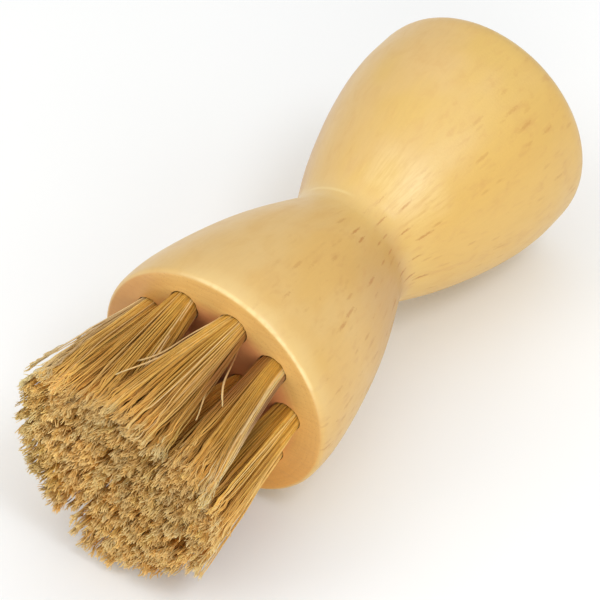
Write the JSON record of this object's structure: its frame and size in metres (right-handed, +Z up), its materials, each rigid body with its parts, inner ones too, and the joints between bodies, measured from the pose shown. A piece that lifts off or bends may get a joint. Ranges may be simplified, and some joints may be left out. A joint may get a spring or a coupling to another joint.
{
  "type": "shoe polish applicator brush",
  "caption": "Round shoe polish applicator brush: a short turned wooden handle with a waist and a knob, its flat head filled with tufts of stiff blond bristle held by wire staples.",
  "frame": {"origin": "on the surface the brush lies on, under the middle of its length", "axes": "+Y along the brush axis from the bristle ends to the knob, +Z up, +X across; the bristles face -Y"},
  "size_m": [0.0358, 0.0896, 0.0359],
  "materials": {
    "wood": "clear satin lacquer on pale beech",
    "bristle": "natural blond bristle, paler at the split ends",
    "wire": "drawn steel wire"
  },
  "bodies": {
    "root": {"handle": "wood", "tuft_outer_01": "bristle", "tuft_outer_02": "bristle", "tuft_outer_03": "bristle", "tuft_outer_04": "bristle", "tuft_outer_05": "bristle", "tuft_outer_06": "bristle", "tuft_outer_07": "bristle", "tuft_outer_08": "bristle", "tuft_outer_09": "bristle", "tuft_outer_10": "bristle", "tuft_inner_01": "bristle", "tuft_inner_02": "bristle", "tuft_inner_03": "bristle", "tuft_inner_04": "bristle", "tuft_inner_05": "bristle", "staple_outer_01": "wire", "staple_outer_02": "wire", "staple_outer_03": "wire", "staple_outer_04": "wire", "staple_outer_05": "wire", "staple_outer_06": "wire", "staple_outer_07": "wire", "staple_outer_08": "wire", "staple_outer_09": "wire", "staple_outer_10": "wire", "staple_inner_01": "wire", "staple_inner_02": "wire", "staple_inner_03": "wire", "staple_inner_04": "wire", "staple_inner_05": "wire"}
  },
  "joints": []
}
